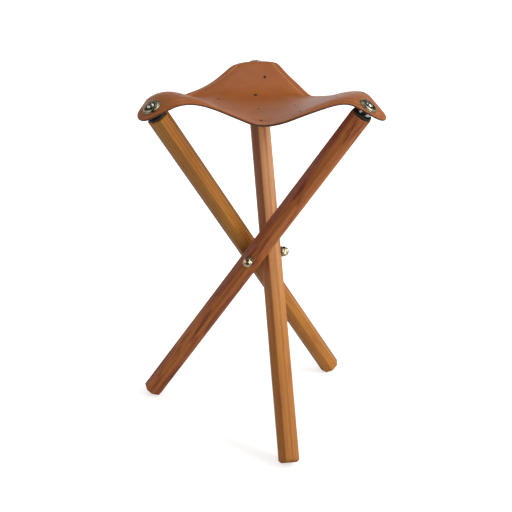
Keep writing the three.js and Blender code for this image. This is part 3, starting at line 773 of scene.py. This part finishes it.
def panel_plan(fine, holes):
    """Places and triangles of the panel seen from above, with rings along its edge, line and holes."""
    loops = [fine]
    rings = [inward(fine, d) for d in EDGE_RINGS]
    rings += [inward(fine, GROOVE_SETBACK + d * GROOVE_HALF_WIDTH) for d in GROOVE_RINGS]
    for x, y, radius in holes:
        turns = [TURN * i / HOLE_SIDES for i in range(HOLE_SIDES)]
        ring = [(x + radius * math.cos(a), y + radius * math.sin(a)) for a in turns]
        loops.append(np.array(ring))
        for wider in HOLE_RINGS:
            rings.append(np.array([(x + (px - x) * wider, y + (py - y) * wider) for px, py in ring]))
    reach = CORNER_REACH + PLAN_MARGIN
    rows = np.arange(-reach, reach, GRID * math.sqrt(3) / 2)
    columns = np.arange(-reach, reach, GRID)
    cells = np.array([(x + GRID / 2 * (k % 2), y) for k, y in enumerate(rows) for x in columns])
    keep = inside(cells, fine) & (edge_distance(cells, fine) > GROOVE_SETBACK + CREASE_MARGIN)
    for x, y, radius in holes:
        keep &= np.hypot(cells[:, 0] - x, cells[:, 1] - y) > 2.0 * radius + GRID / 3

    places = np.vstack(loops + rings + [cells[keep]])
    edges, start = [], 0
    for loop in loops:
        size = len(loop)
        edges += [(start + i, start + (i + 1) % size) for i in range(size)]
        start += size
    found = delaunay_2d_cdt([Vector(p) for p in places], edges, [], 0, 1e-5)
    flat = np.array([tuple(v) for v in found[0]])
    triangles = np.array([f for f in found[2]])
    centres = flat[triangles].mean(1)
    keep = inside(centres, fine)
    for x, y, radius in holes:
        keep &= np.hypot(centres[:, 0] - x, centres[:, 1] - y) > radius * HOLE_KEPT_SHARE
    return flat, triangles[keep]


def closed_sheet(top, bottom, triangles):
    """Points and faces of two layers closed by a wall round every open edge."""
    count = len(top)
    faces = [list(map(int, t)) for t in triangles] + [[int(v) + count for v in t[::-1]] for t in triangles]
    seen = {(int(a), int(b)): True for t in triangles for a, b in ((t[0], t[1]), (t[1], t[2]), (t[2], t[0]))}
    rim = [(a, b) for a, b in seen if (b, a) not in seen]
    points = [Vector(p) for p in top] + [Vector(p) for p in bottom]
    wall = {}
    for a, b in rim:
        for v in (a, b):
            if v not in wall:
                column = [v]
                for k in range(1, EDGE_LAYERS):
                    column.append(len(points))
                    points.append(points[v].lerp(points[v + count], k / EDGE_LAYERS))
                column.append(v + count)
                wall[v] = column
    for a, b in rim:
        for k in range(EDGE_LAYERS):
            faces.append([wall[b][k], wall[b][k + 1], wall[a][k + 1], wall[a][k]])
    return points, faces


def finish_and_painted_light_marks(flat, setback, groove, holes, total):
    """For each point, how burnt it is, with painted shade round the holes, how much painted highlight of the
    tooled line it shows and whether it is flesh side.
    """
    count = len(flat)
    near_hole = np.full(count, FAR_AWAY)
    for x, y, radius in holes:
        near_hole = np.minimum(near_hole, np.hypot(flat[:, 0] - x, flat[:, 1] - y) - radius)
    edge = np.clip(1.1 - setback / 0.6, 0, 1)
    rim_of_hole = np.clip(1.3 - near_hole / 1.0, 0, 1)
    # Burn of the edges, with painted shade added in the burn round each hole.
    burnt = np.maximum(EDGE_BURN * edge, HOLE_BURN_AND_SHADE * rim_of_hole)
    # Painted highlight of the tooled line, weaker toward the front.
    least, start, fade = GROOVE_HIGHLIGHT_SHOWN
    highlight_shown = least + (1 - least) * smooth(np.clip((flat[:, 1] - start) / fade, 0, 1))
    marks = np.zeros((total, 3))
    marks[:count] = np.column_stack([burnt, groove * highlight_shown, np.zeros(count)])
    marks[count:2 * count] = np.column_stack([np.maximum(edge, rim_of_hole), np.zeros(count), np.ones(count)])
    marks[2 * count:] = (1.0, 0.0, 0.0)
    return marks


def leather_seat():
    """The panel as one closed mesh, with marks for its burnished edges, painted shade round its holes, the
    painted highlight on its tooled line and its flesh side.
    """
    fine = evenly(seat_outline(LOBE_STEPS, SIDE_STEPS), EDGE_STEP)
    screw_hole = SCREW_HOLE_RADIUS + SCREW_HOLE_EASE
    holes = list(VENT_HOLES) + [(*screw_place(number), screw_hole) for number in range(3)]
    flat, triangles = panel_plan(fine, holes)
    setback = edge_distance(flat, fine)
    top, bottom, groove = leather_faces(flat[:, 0], flat[:, 1], setback)
    beyond = np.maximum(EDGE_ROUNDING - setback, 0)
    sunk = EDGE_ROUNDING - np.sqrt(np.maximum(EDGE_ROUNDING ** 2 - beyond ** 2, 0))
    lean = (top - bottom) / np.linalg.norm(top - bottom, axis=1)[:, None]
    top -= lean * sunk[:, None]
    bottom += lean * sunk[:, None]

    points, faces = closed_sheet(top, bottom, triangles)
    place = Matrix.Translation(HUB) @ Matrix.Scale(MM, 4)
    made = mesh_object("leather_seat_panel", points, faces, place, LEATHER, LEATHER_CREASE_DEGREES)
    marks = finish_and_painted_light_marks(flat, setback, groove, holes, len(points))
    attribute = made.data.attributes.new("finish_and_painted_light", "FLOAT_VECTOR", "POINT")
    attribute.data.foreach_set("vector", marks.astype(np.float32).ravel())
    return made


PATCH_RADIUS = 17.0
PATCH_FADE = 6.0
PULL_CURVE = 0.9
SHARED_PULL = 0.25


def gather(piece):
    """Ties each corner of the leather to its leg, so that the panel gathers as the legs close. Round
    each screw a patch follows its leg rigidly, and beyond that the legs' pull fades toward the middle."""
    hub = np.array(HUB)
    co = np.array([v.co for v in piece.data.vertices])
    rel = (co - hub) / MM
    shares = []
    for number in range(3):
        angle = bolt_angle(number)
        out = -rel[:, 0] * math.sin(angle) + rel[:, 1] * math.cos(angle)
        to_leg = np.array(leg_matrix(number).inverted())
        own = co @ to_leg[:3, :3].T + to_leg[:3, 3]
        patch = np.clip((PATCH_RADIUS + PATCH_FADE - np.hypot(own[:, 0], own[:, 1])) / PATCH_FADE, 0, 1)
        shares.append(np.maximum(1 - (1 - np.clip(out / CORNER_OUT, 0, 1)) ** PULL_CURVE, patch))
    total = sum(shares)
    for share, name in zip(shares, LEG_NAMES):
        share = share * (1 - SHARED_PULL * np.clip(total - share, 0, 1))
        group = piece.vertex_groups.new(name=name + "_pull")
        for index, weight in enumerate(share):
            if weight > 0:
                group.add([index], float(weight), "REPLACE")
    bpy.context.view_layer.update()
    for name in LEG_NAMES:
        hook = piece.modifiers.new(name + "_pull", "HOOK")
        hook.object = frame["bodies"][name + "_leg"]
        hook.vertex_group = name + "_pull"
        hook.falloff_type = "NONE"
        hook.strength = 1.0
        hook.matrix_inverse = hook.object.matrix_world.inverted() @ piece.matrix_world


seat = leather_seat()
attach(seat, "seat")
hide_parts("leather_seat")
gather(seat)


# Nodes that keep their own solids
LEG_CREASE_DEGREES = 35.0


def flatten(node):
    """Shades a leg's wide faces flat and only its rounded edges smooth."""
    node.data.shade_smooth()
    node.data.set_sharp_from_angle(angle=math.radians(LEG_CREASE_DEGREES))
    weighted = node.modifiers.new("flat_faces", "WEIGHTED_NORMAL")
    weighted.keep_sharp = True
    weighted.weight = 100


for number, name in enumerate(LEG_NAMES):
    leg = frame["nodes"][f"leg_{name}"]
    leg.data.materials.clear()
    leg.data.materials.append(WOODS[name])
    flatten(leg)
    washer = frame["nodes"][f"inner_washer_{name}"]
    washer.data.materials.clear()
    washer.data.materials.append(ZINC)
bolt = frame["nodes"]["three_way_bolt"]
bolt.data.materials.clear()
bolt.data.materials.append(ZINC)


# Floor, light and camera, in metres but for the lens and its sensor
# Each lamp: its azimuth from the camera's side toward the right, its elevation and its power in watts
LAMP_TARGET = Vector((0, 0, 0.3))
LAMP_DISTANCE = 2.4
LAMP_SIZE = 1.0
LAMPS = (
    ("key", 65, 28, 24),
    ("high_key", 90, 50, 13),
    ("right_front", 40, 10, 7),
    ("front", 15, 28, 5),
    ("top", 180, 86, 8),
)
WORLD_LEVEL = 0.42

FLOOR_REACH = 7.0
FLOOR_GAP = 0.0005
GLOW_NEAR = 0.62
GLOW_REACH = (0.15, 0.55)

# Dark cards that only reflections see, each by its four corners in metres
FLAGS = {
    "front_flag": [(-2.4, -3.2, 0.02), (2.4, -3.2, 0.02), (2.4, -3.2, 4.0), (-2.4, -3.2, 4.0)],
    "low_flag": [(-2.4, -3.2, 0.01), (2.4, -3.2, 0.01), (2.4, -0.45, 0.01), (-2.4, -0.45, 0.01)],
    "back_flag": [(-4.5, 3.4, 2.9), (4.5, 3.4, 0.6), (4.5, 3.4, 4.6), (-4.5, 3.4, 4.6)],
    "top_flag": [(-3, -3.2, 3.6), (3, -3.2, 3.6), (3, 1.2, 3.6), (-3, 1.2, 3.6)],
}

CAMERA_AZIMUTH = math.radians(1.46)
CAMERA_ELEVATION = math.radians(22.97)
CAMERA_ROLL = math.radians(0.21)
CAMERA_DISTANCE = 1.618
CAMERA_DROP = 0.01244
CAMERA_LENS = 77.55
CAMERA_SENSOR = 36.0
CAMERA_CLIP = (0.05, 50.0)
CAMERA_SHIFT = (-0.0031, 0.0092)


def floor():
    """A pale floor that keeps the stool's faint shadows and glows to white farther out."""
    s = Shader("pale_floor")
    position = s.node("TexCoord").outputs["Object"]
    tone = s.mix(s.noise(position, 3.0, 3.0), (0.66, 0.66, 0.66), (0.70, 0.70, 0.70))
    diffuse = s.node("BsdfDiffuse", {"Color": tone})
    path = s.node("LightPath")
    away = s.node("VectorMath", {0: position}, operation="LENGTH").outputs["Value"]
    level = s.math("ADD", s.math("MULTIPLY", s.steps(away, *GLOW_REACH), 1 - GLOW_NEAR), GLOW_NEAR)
    glow = s.node("Emission", {"Color": (1, 1, 1, 1),
                               "Strength": s.math("MULTIPLY", path.outputs["Is Camera Ray"], level)})
    both = s.node("AddShader", {0: diffuse.outputs[0], 1: glow.outputs[0]})
    s.node("OutputMaterial", {"Surface": both.outputs[0]})
    size = FLOOR_REACH
    mesh = bpy.data.meshes.new("floor")
    corners = [(-size, -size, 0), (size, -size, 0), (size, size, 0), (-size, size, 0)]
    mesh.from_pydata(corners, [], [(0, 1, 2, 3)])
    mesh.materials.append(s.material)
    made = bpy.data.objects.new("floor", mesh)
    made.location.z = -FLOOR_GAP
    bpy.context.scene.collection.objects.link(made)


def flag(name, corners):
    """A dark card that only reflections see, as in a studio."""
    s = Shader(name)
    s.node("OutputMaterial", {"Surface": s.node("BsdfDiffuse", {"Color": (0.02, 0.02, 0.02, 1)}).outputs[0]})
    mesh = bpy.data.meshes.new(name)
    mesh.from_pydata(corners, [], [(0, 1, 2, 3)])
    mesh.materials.append(s.material)
    made = bpy.data.objects.new(name, mesh)
    for ray in ("camera", "diffuse", "transmission", "volume_scatter", "shadow"):
        setattr(made, "visible_" + ray, False)
    bpy.context.scene.collection.objects.link(made)


def world():
    """A plain level of light on the stool, and full white to the camera and in reflections."""
    made = bpy.data.worlds.new("studio")
    bpy.context.scene.world = made
    made.use_nodes = True
    tree = made.node_tree
    tree.nodes.clear()
    path = tree.nodes.new("ShaderNodeLightPath")
    seen = path.outputs["Is Camera Ray"]
    for kind in ("Is Glossy Ray", "Is Transmission Ray"):
        either = tree.nodes.new("ShaderNodeMath")
        either.operation = "MAXIMUM"
        tree.links.new(seen, either.inputs[0])
        tree.links.new(path.outputs[kind], either.inputs[1])
        seen = either.outputs[0]
    strength = tree.nodes.new("ShaderNodeMapRange")
    strength.inputs["To Min"].default_value = WORLD_LEVEL
    strength.inputs["To Max"].default_value = 1.0
    tree.links.new(seen, strength.inputs["Value"])
    back = tree.nodes.new("ShaderNodeBackground")
    back.inputs["Color"].default_value = (1, 1, 1, 1)
    tree.links.new(strength.outputs["Result"], back.inputs["Strength"])
    out = tree.nodes.new("ShaderNodeOutputWorld")
    tree.links.new(back.outputs[0], out.inputs["Surface"])


def area_light(name, place, power):
    """A soft round lamp at a place, turned to the stool."""
    data = bpy.data.lights.new(name, "AREA")
    data.shape = "DISK"
    data.size = LAMP_SIZE
    data.energy = power
    made = bpy.data.objects.new(name, data)
    made.location = place
    made.rotation_mode = "QUATERNION"
    made.rotation_quaternion = (LAMP_TARGET - place).to_track_quat("-Z", "Y")
    bpy.context.scene.collection.objects.link(made)


def camera():
    """The photograph's view: about 1.6 m off, 23 degrees above level."""
    azimuth, elevation, roll = CAMERA_AZIMUTH, CAMERA_ELEVATION, CAMERA_ROLL
    target = Vector((HUB.x, HUB.y, HUB.z - CAMERA_DROP))
    back = Vector((-math.sin(azimuth) * math.cos(elevation), -math.cos(azimuth) * math.cos(elevation),
                   math.sin(elevation)))
    data = bpy.data.cameras.new("photo_view")
    data.lens = CAMERA_LENS
    data.sensor_width = CAMERA_SENSOR
    data.shift_x, data.shift_y = CAMERA_SHIFT
    data.clip_start, data.clip_end = CAMERA_CLIP
    made = bpy.data.objects.new("photo_view", data)
    made.location = target + back * CAMERA_DISTANCE
    made.rotation_mode = "QUATERNION"
    made.rotation_quaternion = (-back).to_track_quat("-Z", "Y") @ Quaternion((0, 0, 1), roll)
    bpy.context.scene.collection.objects.link(made)
    bpy.context.scene.camera = made


floor()
world()
for name, corners in FLAGS.items():
    flag(name, corners)
for name, azimuth, elevation, power in LAMPS:
    a, e = math.radians(azimuth), math.radians(elevation)
    out = Vector((math.sin(a) * math.cos(e), -math.cos(a) * math.cos(e), math.sin(e)))
    area_light(name, LAMP_TARGET + LAMP_DISTANCE * out, power)
camera()

scene = bpy.context.scene
scene.view_settings.view_transform = "Standard"
